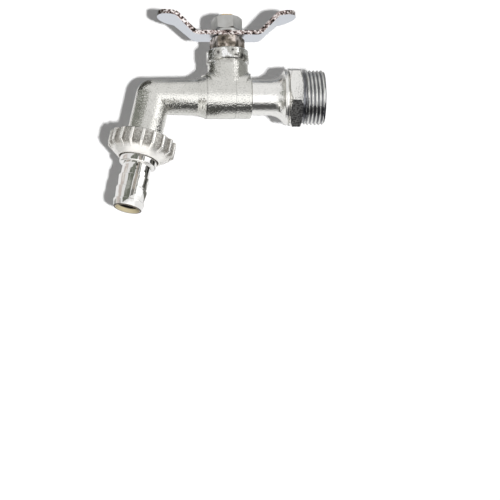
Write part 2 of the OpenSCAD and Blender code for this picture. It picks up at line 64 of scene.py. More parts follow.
def add(tree, kind, inputs=None, family="ShaderNode", **settings):
    """One node: its settings, then its inputs, each a number, a colour or another node's output."""
    node = tree.nodes.new(family + kind)
    for name, value in settings.items():
        setattr(node, name, value)
    for name, value in (inputs or {}).items():
        if isinstance(value, bpy.types.NodeSocket):
            tree.links.new(value, node.inputs[name])
        else:
            node.inputs[name].default_value = value
    return node


def empty_material(name):
    """A new material without nodes, and its tree."""
    material = bpy.data.materials.new(name)
    material.use_nodes = True
    material.node_tree.nodes.clear()
    return material, material.node_tree


def finish_metal(tree, colour, roughness, normal):
    """The last nodes of a metal; gives its shader back."""
    shader = add(tree, "BsdfPrincipled", {"Base Color": colour, "Metallic": 1.0, "Roughness": roughness,
                                          "Normal": normal})
    add(tree, "OutputMaterial", {"Surface": shader.outputs["BSDF"]})
    return shader


def paint(node_name, material):
    """Gives a CAD node's object its material."""
    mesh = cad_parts[node_name].data
    mesh.materials.clear()
    mesh.materials.append(material)


def pitted(tree, place, low):
    """A fine blasted grain, and painted shade in its pits, darkest at their bottom."""
    grain = add(tree, "TexNoise", {"Vector": place, "Scale": 1 / (BLAST_GRAIN * MM), "Detail": 1.0})
    # painted shade: darker where the grain is low, at the bottom of the pits
    pit_shade = add(tree, "MapRange", {"Value": grain.outputs["Fac"], "From Min": 0.32, "From Max": 0.45,
                                  "To Min": low, "To Max": 1.0})
    return grain.outputs["Fac"], pit_shade.outputs["Result"]


def forged(name):
    """Nickel over a blasted forging: pitted, with painted shade in its pits and in thin lines at its
    shoulders, and bright and dark patches on its collar that are painted reflections."""
    material, tree = empty_material(name)
    place = add(tree, "TexCoord").outputs["Object"]
    patches = add(tree, "TexNoise", {"Vector": place, "Scale": 1 / (6 * MM), "Detail": 3.0})
    colours = add(tree, "Mix", {"Factor": patches.outputs["Fac"], "A": linear(NICKEL),
                                "B": linear(NICKEL_DARK)}, data_type="RGBA")
    # painted reflections: bright and dark patches on the collar
    reflection_noise = add(tree, "TexNoise", {"Vector": place, "Scale": 1 / (3.4 * MM), "Detail": 2.0})
    painted_reflections = add(tree, "ValToRGB", {"Fac": reflection_noise.outputs["Fac"]})
    ramp = painted_reflections.color_ramp
    ramp.elements[0].position = 0.34
    ramp.elements[0].color = linear("4a4846")
    ramp.elements[1].position = 0.6
    ramp.elements[1].color = linear("ffffff")
    ramp.elements.new(0.4).color = linear("aeaca7")
    ramp.elements.new(0.55).color = linear("d2d1cc")
    part = add(tree, "SeparateXYZ", {"Vector": place})
    on_collar = add(tree, "MapRange", {"Value": part.outputs["Z"], "From Min": REFLECTION_PATCHES_FROM * MM,
                                       "From Max": REFLECTION_PATCHES_FULL * MM})
    colours = add(tree, "Mix", {"Factor": on_collar.outputs["Result"], "A": colours.outputs["Result"],
                                "B": painted_reflections.outputs["Color"]}, data_type="RGBA")
    grain, shade = pitted(tree, place, 0.84)
    # painted shade: thin dark lines in the corners of the shoulders
    for at, half_width, tone in SHOULDER_SHADE_LINES:
        off = add(tree, "Math", {0: part.outputs["X"], 1: (STEM_X + at) * MM}, operation="SUBTRACT")
        off = add(tree, "Math", {0: off.outputs["Value"]}, operation="ABSOLUTE")
        line = add(tree, "MapRange", {"Value": off.outputs["Value"], "From Min": half_width * 0.5 * MM,
                                      "From Max": half_width * MM, "To Min": tone, "To Max": 1.0})
        darker = add(tree, "Math", {0: shade, 1: line.outputs["Result"]}, operation="MULTIPLY")
        shade = darker.outputs["Value"]
    toned = add(tree, "VectorMath", {0: colours.outputs["Result"], "Scale": shade}, operation="SCALE")
    bump = add(tree, "Bump", {"Strength": 1.0, "Distance": 0.16 * MM, "Height": grain})
    finish_metal(tree, toned.outputs["Vector"], 0.14, bump.outputs["Normal"])
    return material


# Forged and blasted brass under nickel: satin, with a speckle where its pits catch the light, and painted
# shade in the pits
nickel_forged = forged("nickel_plated_forging")
paint("valve_body", nickel_forged)

# The forged fillet round the foot of the boss: a ball of this radius rolled round the boss and pipe
FILLET_BALL = 3.2
BOSS_R = 9.8
CHAMBER_R = 10.5
FILLET_LIMIT_X = 10.2  # the milled inlet end cuts it off
FILLET_AROUND = 96
FILLET_ARC = 9
FILLET_DEPTH = 0.8  # how far its edges run on inside the metal


def fillet_ring(angle):
    """Points of the fillet's skin at one place of the rolling ball, from the boss down to the pipe, and
    then back inside the metal."""
    reach = BOSS_R + FILLET_BALL
    x, y = reach * math.cos(angle), reach * math.sin(angle)
    z = math.sqrt((CHAMBER_R + FILLET_BALL) ** 2 - y * y)
    centre = Vector((x, y, z))
    to_boss = Vector((-x, -y, 0)).normalized()
    to_pipe = Vector((0, -y, -z)).normalized()
    points = []
    for i in range(FILLET_ARC + 1):
        way = to_boss.slerp(to_pipe, i / FILLET_ARC)
        points.append(centre + way * FILLET_BALL)
    points.append(points[-1] + to_pipe * FILLET_DEPTH)
    points.append(points[0] + to_boss * FILLET_DEPTH)
    return [Vector((min(point.x, FILLET_LIMIT_X), point.y, point.z)) for point in points]


def loop_mesh(name, sections, closed=True):
    """A skin through like sections of points, joined section to section."""
    mesh = bpy.data.meshes.new(name)
    across = len(sections[0])
    verts = [tuple(point * MM) for section in sections for point in section]
    count = len(sections) if closed else len(sections) - 1
    faces = []
    for i in range(count):
        n = (i + 1) % len(sections)
        for j in range(across):
            k = (j + 1) % across
            faces.append((i * across + j, i * across + k, n * across + k, n * across + j))
    if not closed:
        faces.append(tuple(range(across)))
        faces.append(tuple(range(len(verts) - across, len(verts))))
    mesh.from_pydata(verts, [], faces)
    work = bmesh.new()
    work.from_mesh(mesh)
    bmesh.ops.remove_doubles(work, verts=work.verts, dist=0.0005 * MM)
    bmesh.ops.recalc_face_normals(work, faces=work.faces)
    work.to_mesh(mesh)
    work.free()
    mesh.shade_smooth()
    mesh.set_sharp_from_angle(angle=math.radians(32))
    return mesh


def show(name, mesh, material):
    """A new piece with one material."""
    piece = bpy.data.objects.new(name, mesh)
    scene.collection.objects.link(piece)
    mesh.materials.append(material)
    return piece


fillet_sections = [[point + Vector((STEM_X, 0, 0)) for point in fillet_ring(2 * math.pi * i / FILLET_AROUND)]
                   for i in range(FILLET_AROUND)]
fillet = show("forged_boss_fillet", loop_mesh("forged_boss_fillet", fillet_sections), nickel_forged)
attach(fillet, "valve")

# ---- Seat rings --------------------------------------------------------------------------------
# Two turned PTFE rings, one on each side of the ball. The connector presses them on it, and the ball
# slides on them as it turns.
def soft_white(name):
    """White PTFE, slightly waxy."""
    material, tree = empty_material(name)
    place = add(tree, "TexCoord").outputs["Object"]
    cloud = add(tree, "TexNoise", {"Vector": place, "Scale": 1 / (2.0 * MM), "Detail": 2.0})
    shade = add(tree, "MapRange", {"Value": cloud.outputs["Fac"], "To Min": 0.38, "To Max": 0.5})
    shader = add(tree, "BsdfPrincipled", {"Base Color": linear("efeee9"),
                                          "Roughness": shade.outputs["Result"]})
    add(tree, "OutputMaterial", {"Surface": shader.outputs["BSDF"]})
    return material


# Sintered PTFE of the seats, the thrust washer and the packing: milky white with a waxy sheen
ptfe = soft_white("white_ptfe")
for name in ("seat_ring_outlet", "seat_ring_inlet"):
    paint(name, ptfe)

# ---- Ball --------------------------------------------------------------------------------------
# Turned brass ball with a waterway through it and a slot for the stem. It is polished and hard chrome
# plated, so that the seats seal on it.
PATCH = 5.0  # width of the soft patches in a plate's colour


def patchy_metal(name, colour, patch_colour, roughness, grain_mm, grain_depth):
    """Metal whose colour and gloss drift in soft patches, under a fine grain."""
    material, tree = empty_material(name)
    place = add(tree, "TexCoord").outputs["Object"]
    patches = add(tree, "TexNoise", {"Vector": place, "Scale": 1 / (PATCH * MM), "Detail": 3.0})
    colours = add(tree, "Mix", {"Factor": patches.outputs["Fac"], "A": linear(colour),
                                "B": linear(patch_colour)}, data_type="RGBA")
    gloss = add(tree, "MapRange", {"Value": patches.outputs["Fac"], "From Min": 0.3, "From Max": 0.7,
                                   "To Min": roughness[0], "To Max": roughness[1]})
    grain = add(tree, "TexNoise", {"Vector": place, "Scale": 1 / (grain_mm * MM), "Detail": 2.0,
                                   "Roughness": 0.6})
    bump = add(tree, "Bump", {"Strength": 1.0, "Distance": grain_depth * MM, "Height": grain.outputs["Fac"]})
    finish_metal(tree, colours.outputs["Result"], gloss.outputs["Result"], bump.outputs["Normal"])
    return material


# Polished chrome plate: a mirror with hardly a wave
chrome_ball = patchy_metal("polished_chrome_ball", "dcdcdc", "d2d2d3", (0.05, 0.09), 0.4, 0.001)
paint("ball", chrome_ball)

# ---- Connector seal ----------------------------------------------------------------------------
# A moulded black rubber ring of round section. It lies in the connector's groove and seals the
# connector in the body.
def black_rubber(name, colour):
    """Moulded rubber with a dull skin."""
    material, tree = empty_material(name)
    place = add(tree, "TexCoord").outputs["Object"]
    skin = add(tree, "TexNoise", {"Vector": place, "Scale": 1 / (0.4 * MM), "Detail": 2.0})
    dull = add(tree, "MapRange", {"Value": skin.outputs["Fac"], "To Min": 0.5, "To Max": 0.7})
    bump = add(tree, "Bump", {"Strength": 1.0, "Distance": 0.01 * MM, "Height": skin.outputs["Fac"]})
    shader = add(tree, "BsdfPrincipled", {"Base Color": linear(colour), "Roughness": dull.outputs["Result"],
                                          "Normal": bump.outputs["Normal"]})
    add(tree, "OutputMaterial", {"Surface": shader.outputs["BSDF"]})
    return material


# Moulded nitrile rubber of the two sealing rings: black and dull
seal_rubber = black_rubber("black_nitrile_rubber", "262626")
paint("connector_seal", seal_rubber)

# ---- Inlet connector ---------------------------------------------------------------------------
# Turned from one brass bar and nickel plated: a thread into the body, a slim neck that flares to a
# rounded flange, a hexagon for the spanner, and a G 3/4 thread with a deep recess in its end.
TURNS_AROUND = 180  # points round a ring, so that each hexagon corner falls on one
CONNECTOR_START = 7.699  # all lengths along the pipe from the stem axis
BODY_END = 10.8
NECK_R = 8.7
BODY_THREAD_R = 9.0
SEAL_GROOVE = (8.9, 10.2)
SEAL_GROOVE_R = 7.9
FLARE_START = 19.4
FLARE_R = 8.0
FLANGE_START = 26.544
FLANGE_T = 2.2
FLANGE_R = 13.4
FLANGE_FOOT = -43  # the flange's round begins on the flare at this angle, in degrees
HEX_AF = 27.0
HEX_TURN = math.radians(52)
HEX_END = 34.944
RELIEF_R = 11.92
PIPE_MAJOR_R = 13.22  # G 3/4 thread
PIPE_PITCH = 1.814
THREAD_START = 35.944
THREAD_STEPS = 84
THREAD_BEVEL = 1.0
THREAD_DEPTH = 0.9
INLET_END = 45.944
RECESS_R = 9.2
RECESS_DEPTH = 14
RECESS_CONE = 3  # the recess narrows to the waterway over this length
WATERWAY_R = 6.2
SHADE_FLECK_SIZE = 0.85  # size of the ragged flecks of painted shade on the hexagon's lower flat


def thread_wave(turn):
    """Height of a worn, rounded thread, 0 at the root and 1 at the crest, for a place in turns."""
    ramp = abs((turn % 1.0) * 2 - 1)
    return 0.6 * ramp + 0.4 * ramp * ramp * (3 - 2 * ramp)


def turned_mesh(name, rings, around, to_frame):
    """A closed skin of rings joined in a loop. A ring is (place along the axis, radius or a function of
    the angle); to_frame takes a place along the axis and two coordinates across it."""
    mesh = bpy.data.meshes.new(name)
    verts = []
    for along, radius in rings:
        for j in range(around):
            angle = 2 * math.pi * j / around
            r = radius(angle) if callable(radius) else radius
            verts.append(to_frame(along, r * math.cos(angle), r * math.sin(angle)) * MM)
    faces = []
    count = len(rings)
    for i in range(count):
        for j in range(around):
            k = (j + 1) % around
            n = (i + 1) % count
            faces.append((i * around + j, i * around + k, n * around + k, n * around + j))
    mesh.from_pydata([tuple(v) for v in verts], [], faces)
    work = bmesh.new()
    work.from_mesh(mesh)
    bmesh.ops.recalc_face_normals(work, faces=work.faces)
    work.to_mesh(mesh)
    work.free()
    mesh.shade_smooth()
    mesh.set_sharp_from_angle(angle=math.radians(32))
    return mesh


def along_pipe(along, down, side):
    """A place on the level pipe, at a length from the stem axis; angles start at the bottom."""
    return Vector((STEM_X + along, side, -down))


def hex_radius(angle):
    """Radius of the hexagon at an angle, where a corner stands at its turn."""
    off = (angle - HEX_TURN) % math.radians(60) - math.radians(30)
    return HEX_AF / 2 / math.cos(off)


def hex_ring(along, limit):
    """A ring of the hexagon, cut to a round limit where its corners are turned off."""
    return along, lambda angle: min(hex_radius(angle), limit)


def thread_ring(along):
    """A ring of the inlet's thread, with both ends bevelled."""
    bevel_foot = PIPE_MAJOR_R - THREAD_BEVEL

    def radius(angle):
        turn = along / PIPE_PITCH - angle / (2 * math.pi)
        r = PIPE_MAJOR_R - THREAD_DEPTH * (1 - thread_wave(turn))
        return min(r, bevel_foot + (along - THREAD_START), bevel_foot + (INLET_END - along))
    return along, radius


groove_start, groove_end = SEAL_GROOVE
rings = [(CONNECTOR_START, BODY_THREAD_R), (groove_start, BODY_THREAD_R), (groove_start, SEAL_GROOVE_R),
         (groove_end, SEAL_GROOVE_R), (groove_end, BODY_THREAD_R), (BODY_END, BODY_THREAD_R),
         (BODY_END, NECK_R)]
for i in range(13):
    along = FLARE_START + (FLANGE_START - FLARE_START) * i / 12
    rings.append((along, NECK_R + FLARE_R - math.sqrt(FLARE_R ** 2 - (along - FLARE_START) ** 2)))
rim_x, rim_r = FLANGE_START + FLANGE_T / 2, FLANGE_R - FLANGE_T / 2
for i in range(13):
    angle = math.radians(FLANGE_FOOT + (90 - FLANGE_FOOT) * i / 12)
    rings.append((rim_x + FLANGE_T / 2 * math.sin(angle), rim_r + FLANGE_T / 2 * math.cos(angle)))
hex_start = FLANGE_START + FLANGE_T
corner_r = HEX_AF / math.sqrt(3)
corner_rise = (corner_r - HEX_AF / 2) * math.tan(math.radians(30))
for i in range(7):
    rings.append(hex_ring(hex_start + corner_rise * i / 6, HEX_AF / 2 + (corner_r - HEX_AF / 2) * i / 6))
for i in range(7):
    rings.append(hex_ring(HEX_END - corner_rise * (6 - i) / 6, corner_r - (corner_r - HEX_AF / 2) * i / 6))
rings += [(HEX_END, RELIEF_R), (THREAD_START, RELIEF_R)]
for i in range(THREAD_STEPS + 1):
    along = THREAD_START + (INLET_END - THREAD_START) * i / THREAD_STEPS
    rings.append(thread_ring(along))
recess_floor = INLET_END - RECESS_DEPTH
rings += [(INLET_END, RECESS_R), (recess_floor, RECESS_R), (recess_floor - RECESS_CONE, WATERWAY_R),
          (CONNECTOR_START, WATERWAY_R)]


def turned_metal(name):
    """Nickel over turned brass: painted shade, bluish grey, in the thread's roots, and painted shade in
    ragged flecks on the hexagon's lower flat."""
    material, tree = empty_material(name)
    place = add(tree, "TexCoord").outputs["Object"]
    across = add(tree, "VectorMath", {0: place, 1: (0, 1, 1)}, operation="MULTIPLY")
    radius = add(tree, "VectorMath", {0: across.outputs["Vector"]}, operation="LENGTH").outputs["Value"]
    part = add(tree, "SeparateXYZ", {"Vector": place})
    on_thread = add(tree, "Math", {0: part.outputs["X"], 1: (STEM_X + HEX_END + 0.1) * MM},
                    operation="GREATER_THAN")
    on_hexagon = add(tree, "Math", {0: part.outputs["X"], 1: (STEM_X + FLANGE_START + FLANGE_T) * MM},
                     operation="GREATER_THAN")
    # painted shade on the hexagon's lower flat, in ragged flecks
    lower = add(tree, "MapRange", {"Value": part.outputs["Z"], "From Min": -4.0 * MM, "From Max": -5.5 * MM})
    lower_flat_shade = add(tree, "Math", {0: on_hexagon.outputs["Value"], 1: on_thread.outputs["Value"]},
                operation="SUBTRACT")
    lower_flat_shade = add(tree, "Math", {0: lower_flat_shade.outputs["Value"], 1: lower.outputs["Result"]}, operation="MULTIPLY")
    # painted shade: bluish grey in the thread roots, pale on the crests
    crest = add(tree, "MapRange", {"Value": radius, "From Min": (PIPE_MAJOR_R - THREAD_DEPTH) * MM,
                                   "From Max": (PIPE_MAJOR_R - 0.2) * MM})
    thread_root_shade = add(tree, "Mix", {"Factor": crest.outputs["Result"], "A": linear("7f8085"),
                               "B": linear("ececea")}, data_type="RGBA")
    colours = add(tree, "Mix", {"Factor": on_thread.outputs["Value"], "A": linear("efeeeb"),
                                "B": thread_root_shade.outputs["Result"]}, data_type="RGBA")
    grain, shade = pitted(tree, place, 0.92)
    shade_flecks = add(tree, "TexNoise", {"Vector": place, "Scale": 1 / (SHADE_FLECK_SIZE * MM), "Detail": 2.0})
    fleck_shade = add(tree, "MapRange", {"Value": shade_flecks.outputs["Fac"], "From Min": 0.42, "From Max": 0.54,
                                   "To Min": 0.42, "To Max": 1.1})
    shade = add(tree, "Mix", {"Factor": lower_flat_shade.outputs["Value"], "A": shade, "B": fleck_shade.outputs["Result"]})
    toned = add(tree, "VectorMath", {0: colours.outputs["Result"], "Scale": shade.outputs["Result"]},
                operation="SCALE")
    bump = add(tree, "Bump", {"Strength": 1.0, "Distance": 0.1 * MM, "Height": grain})
    finish_metal(tree, toned.outputs["Vector"], 0.14, bump.outputs["Normal"])
    return material


# Turned brass under nickel: smooth and bright, with painted shade in the thread roots and on one flat of the
# hexagon
nickel_turned = turned_metal("nickel_plated_turned_brass")
connector = show("threaded_inlet_connector",
                 turned_mesh("threaded_inlet_connector", rings, TURNS_AROUND, along_pipe), nickel_turned)
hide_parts("inlet_connector")
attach(connector, "valve")

# ---- Stem --------------------------------------------------------------------------------------
# Turned from bare brass, with a tongue that turns the ball and two flats for the handle. It is fitted
# from inside the body, so that its flange holds it in.
# Bare turned brass: golden, with a soft turned sheen
brass = patchy_metal("bare_turned_brass", "d9bd7a", "c7a45e", (0.25, 0.35), 0.5, 0.01)
paint("stem", brass)

# ---- Thrust washer, stem seal, packing and follower ----------------------------------------------
# The washer and the sealing ring sit on the stem; two PTFE rings and a brass follower are pressed
# down on each other by the packing nut.
paint("stem_thrust_washer", ptfe)
paint("stem_seal", seal_rubber)
paint("packing_ring_lower", ptfe)
paint("packing_ring_upper", ptfe)
paint("gland_follower", brass)

# ---- Packing nut -------------------------------------------------------------------------------
# A small hexagon, turned from brass bar and nickel plated. It is screwed into the collar and presses
# the packing round the stem.
def blotched(name):
    """Nickel worn through in blotches to brown, dark brass."""
    material, tree = empty_material(name)
    place = add(tree, "TexCoord").outputs["Object"]
    wear = add(tree, "TexNoise", {"Vector": place, "Scale": 1 / (3.2 * MM), "Detail": 4.0})
    worn = add(tree, "ValToRGB", {"Fac": wear.outputs["Fac"]})
    ramp = worn.color_ramp
    ramp.elements[0].position = 0.36
    ramp.elements[0].color = linear("403b35")
    ramp.elements[1].position = 0.62
    ramp.elements[1].color = linear("eee2da")
    ramp.elements.new(0.5).color = linear("91877b")
    bump = add(tree, "Bump", {"Strength": 1.0, "Distance": 0.1 * MM, "Height": wear.outputs["Fac"]})
    finish_metal(tree, worn.outputs["Color"], 0.28, bump.outputs["Normal"])
    return material


# Worn nickel over turned brass: bright where the plate stands, brown and dull where it is gone
nickel_nut = blotched("nickel_plated_small_nut")
paint("packing_nut", nickel_nut)

# ---- Handle ------------------------------------------------------------------------------------
# Stamped from 2.2 mm steel sheet and bent into a wing on each side of the stem, then zinc plated. Its
# flat-sided hole sits on the stem's flats, and the lug bent down from its edge runs in the stop.
def sheet_steel(name):
    """Plated sheet: smooth on its faces, torn and dark where it is sheared."""
    material, tree = empty_material(name)
    coords = add(tree, "TexCoord")
    place = coords.outputs["Object"]
    sides = add(tree, "SeparateXYZ", {"Vector": coords.outputs["Normal"]})
    across = add(tree, "Math", {0: sides.outputs["Y"]}, operation="ABSOLUTE")
    edge = add(tree, "MapRange", {"Value": across.outputs["Value"], "From Min": 0.2, "From Max": 0.45})
    tear = add(tree, "TexNoise", {"Vector": place, "Scale": 1 / (1.2 * MM), "Detail": 4.0,
                                  "Roughness": 0.65})
    torn = add(tree, "ValToRGB", {"Fac": tear.outputs["Fac"]})
    ramp = torn.color_ramp
    ramp.elements[0].position = 0.43
    ramp.elements[0].color = linear("2b2624")
    ramp.elements[1].position = 0.58
    ramp.elements[1].color = linear("fbf6f4")
    ramp.elements.new(0.5).color = linear("a8928d")
    colours = add(tree, "Mix", {"Factor": edge.outputs["Result"], "A": linear("d3d7de"),
                                "B": torn.outputs["Color"]}, data_type="RGBA")
    gloss = add(tree, "MapRange", {"Value": edge.outputs["Result"], "To Min": 0.3, "To Max": 0.42})
    depth = add(tree, "Math", {0: edge.outputs["Result"], 1: tear.outputs["Fac"]}, operation="MULTIPLY")
    bump = add(tree, "Bump", {"Strength": 1.0, "Distance": 0.12 * MM, "Height": depth.outputs["Value"]})
    finish_metal(tree, colours.outputs["Result"], gloss.outputs["Result"], bump.outputs["Normal"])
    return material


# Zinc-plated sheet steel: smooth pale faces, and sheared edges that are torn bright and brown
handle_steel = sheet_steel("plated_sheet_steel")
paint("handle", handle_steel)

# ---- Spring washer and handle nut --------------------------------------------------------------
# A split spring washer and a plain hexagon nut, both of zinc-plated steel. They hold the handle down
# on the stem's flats.
# Zinc-plated turned steel: pale grey with a soft bluish gloss
zinc = patchy_metal("zinc_plated_steel", "cfd0cf", "a3a19c", (0.26, 0.38), 0.8, 0.02)
paint("spring_washer", zinc)
paint("handle_nut", zinc)

# ---- Tail gasket -------------------------------------------------------------------------------
# A flat ring cut from black rubber sheet. It lies between the outlet's end and the hose tail's flange,
# and the union nut squeezes it.
# Cut rubber sheet: black, a little greyer than the moulded rings
gasket_rubber = black_rubber("black_sheet_rubber", "323130")
paint("tail_gasket", gasket_rubber)

# ---- Hose tail ---------------------------------------------------------------------------------
# Turned brass with three barbs for a half-inch hose, polished and chrome plated outside. Its flange
# lies on the gasket, inside the union nut.
ELBOW = Vector((-77.144, 0, 0))  # where the pipe axis and the spout axis cross
SPOUT_LEAN = math.radians(13.4)
SPOUT_DOWN = Vector((-math.sin(SPOUT_LEAN), 0, -math.cos(SPOUT_LEAN)))
SPOUT_OUT = Vector((-math.cos(SPOUT_LEAN), 0, math.sin(SPOUT_LEAN)))
TAIL_START = 26.9  # all lengths along the spout from the elbow
TAIL_FLANGE_END = 28.5
TAIL_FLANGE_R = 12.7
COLLAR_END = 35.7
COLLAR_R = 8.9
COLLAR_ROUND = 0.9
BARB_STARTS = (41.8, 47.9, 54.0)
BARB_ROOT_R = 6.85
BARB_EDGE_R = 7.5
BARB_LAND = 0.35
BARB_ROUND = 0.12
NOSE_ROUND = 0.3
TAIL_END = 57.5
TAIL_BORE_R = 5.8
BARE_MOUTH = 1.8  # the bore is bare brass to this depth, with painted shade beyond it


def down_spout(along, out, side):
    """A place on the leaning spout, at a length from the elbow; angles start on its outer side."""
    return ELBOW + SPOUT_DOWN * along + SPOUT_OUT * out + Vector((0, side, 0))


def spout_place(tree, place):
    """Length along the spout and distance from its axis, in metres, for a place on a piece."""
    from_elbow = add(tree, "VectorMath", {0: place, 1: ELBOW * MM}, operation="SUBTRACT")
    along = add(tree, "VectorMath", {0: from_elbow.outputs["Vector"], 1: SPOUT_DOWN}, operation="DOT_PRODUCT")
    on_axis = add(tree, "VectorMath", {0: SPOUT_DOWN, "Scale": along.outputs["Value"]}, operation="SCALE")
    off_axis = add(tree, "VectorMath", {0: from_elbow.outputs["Vector"], 1: on_axis.outputs["Vector"]},
                   operation="SUBTRACT")
    radius = add(tree, "VectorMath", {0: off_axis.outputs["Vector"]}, operation="LENGTH")
    return along.outputs["Value"], radius.outputs["Value"]


def quarter(centre_along, centre_r, radius, start, end, steps=4):
    """Points of a rounded edge, by angles in degrees from straight out towards the free end."""
    turns = [math.radians(start + (end - start) * i / steps) for i in range(steps + 1)]
    return [(centre_along + radius * math.sin(a), centre_r + radius * math.cos(a)) for a in turns]


def hose_tail_metal(name):
    """Mirror-like chrome outside, faintly wavy from the polishing; a cut brass mouth with painted shade on
    the end face, and painted shade deeper in the bore.
    """
    material, tree = empty_material(name)
    place = add(tree, "TexCoord").outputs["Object"]
    along, radius = spout_place(tree, place)
    inside = add(tree, "Math", {0: radius, 1: (TAIL_BORE_R + 0.1) * MM}, operation="LESS_THAN")
    # painted shade: near black deeper in the bore, bare brass at the mouth
    deep_shade = add(tree, "MapRange", {"Value": along, "From Min": (TAIL_END - BARE_MOUTH - 0.5) * MM,
                                  "From Max": (TAIL_END - BARE_MOUTH) * MM})
    bore_with_shade = add(tree, "Mix", {"Factor": deep_shade.outputs["Result"], "A": linear("090706"), "B": linear("cbbf9f")},
               data_type="RGBA")
    # painted shade: the end face dark brown
    end_face_shade = add(tree, "Math", {0: along, 1: (TAIL_END - 0.2) * MM}, operation="GREATER_THAN")
    skin = add(tree, "Mix", {"Factor": end_face_shade.outputs["Value"], "A": linear("ecebe9"),
                             "B": linear("41352a")}, data_type="RGBA")
    colours = add(tree, "Mix", {"Factor": inside.outputs["Value"], "A": skin.outputs["Result"],
                                "B": bore_with_shade.outputs["Result"]}, data_type="RGBA")
    gloss = add(tree, "Mix", {"Factor": inside.outputs["Value"], "A": 0.07, "B": 0.6})
    plate = add(tree, "Math", {0: 1.0, 1: inside.outputs["Value"]}, operation="SUBTRACT")
    wave = add(tree, "TexNoise", {"Vector": place, "Scale": 1 / (3.0 * MM), "Detail": 1.0})
    bump = add(tree, "Bump", {"Strength": 1.0, "Distance": 0.1 * MM, "Height": wave.outputs["Fac"]})
    shader = finish_metal(tree, colours.outputs["Result"], gloss.outputs["Result"], bump.outputs["Normal"])
    tree.links.new(plate.outputs["Value"], shader.inputs["Metallic"])
    return material


rings = [(TAIL_START, TAIL_BORE_R), (TAIL_START, TAIL_FLANGE_R), (TAIL_FLANGE_END, TAIL_FLANGE_R),
         (TAIL_FLANGE_END, COLLAR_R)]
rings += quarter(COLLAR_END - COLLAR_ROUND, COLLAR_R - COLLAR_ROUND, COLLAR_ROUND, 0, 90)
rings.append((COLLAR_END, BARB_ROOT_R))
for start, end in zip(BARB_STARTS, (*BARB_STARTS[1:], TAIL_END - NOSE_ROUND)):
    rings.append((start, BARB_ROOT_R))
    rings += quarter(start + BARB_ROUND, BARB_EDGE_R - BARB_ROUND, BARB_ROUND, -90, 0)
    rings.append((start + BARB_LAND, BARB_EDGE_R))
    rings.append((end, BARB_ROOT_R))
rings += quarter(TAIL_END - NOSE_ROUND, BARB_ROOT_R - NOSE_ROUND, NOSE_ROUND, 20, 90)
rings.append((TAIL_END, TAIL_BORE_R))
# Polished chrome plate over turned brass: a mirror outside, bare brass at its cut mouth, with painted shade
# on its end face and deep in its bore
chrome = hose_tail_metal("polished_chrome_tail")
tail = show("barbed_hose_tail", turned_mesh("barbed_hose_tail", rings, 120, down_spout), chrome)
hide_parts("hose_tail")
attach(tail, "tail")

# ---- Union nut ---------------------------------------------------------------------------------
# Cast brass, nickel plated: eighteen grip ribs polished by the tumbler, and sandy flats between them,
# which run out on the cone at its end.
NUT_TOP = 21.5
NUT_CONE_START = 27.8
NUT_LAND = 30.8  # where the flats have run out on the cone
NUT_END = 32.4
NUT_LIP_START = 28.53  # a hair off the tail's flange, which it draws up
NUT_ROOT_R = 14.9
NUT_BORE_R = 13.3
NUT_OPENING_R = 9.5
NUT_RING_R = 10.3
RIB_R = 16.2
RIB_W = 1.7
RIB_ROUND = 0.5
RIB_SINK = 0.7  # how far a rib's foot lies inside the nut
TOP_ROUND = 0.5
RIM_BREAK = 0.15  # the broken edges of the nut's end
RIB_COUNT = 18
RIB_TURN = math.radians(12)
SAND_GRAIN = 0.6  # the mould's sand is about 0.3 mm, drawn coarser so that it shows


def cone_r(along):
    """Radius of the nut's cone."""
    return RIB_R - (RIB_R - NUT_RING_R) * (along - NUT_CONE_START) / (NUT_END - NUT_CONE_START)


def flat_r(along):
    """Radius of the flats between the ribs, which draw in to the cone in a hollow curve."""
    run = max(0.0, (along - NUT_CONE_START) / (NUT_LAND - NUT_CONE_START))
    return NUT_ROOT_R - (NUT_ROOT_R - cone_r(NUT_LAND)) * run ** 1.4


def rib_section(along):
    """Across one rib: its wall, its rounded crest and its other wall, with its foot in the nut."""
    crest = RIB_R if along <= NUT_CONE_START else cone_r(along)
    crest -= max(0.0, NUT_TOP + RIB_ROUND - along) * 0.8
    foot = flat_r(along) - RIB_SINK
    points = [Vector((foot, -RIB_W / 2, along))]
    for centre, angles in ((-1, (-90, -60, -30, 0)), (1, (0, 30, 60, 90))):
        for degrees in angles:
            a = math.radians(degrees)
            points.append(Vector((crest - RIB_ROUND + RIB_ROUND * math.cos(a),
                                  centre * (RIB_W / 2 - RIB_ROUND) + RIB_ROUND * math.sin(a), along)))
    points.append(Vector((foot, RIB_W / 2, along)))
    return points


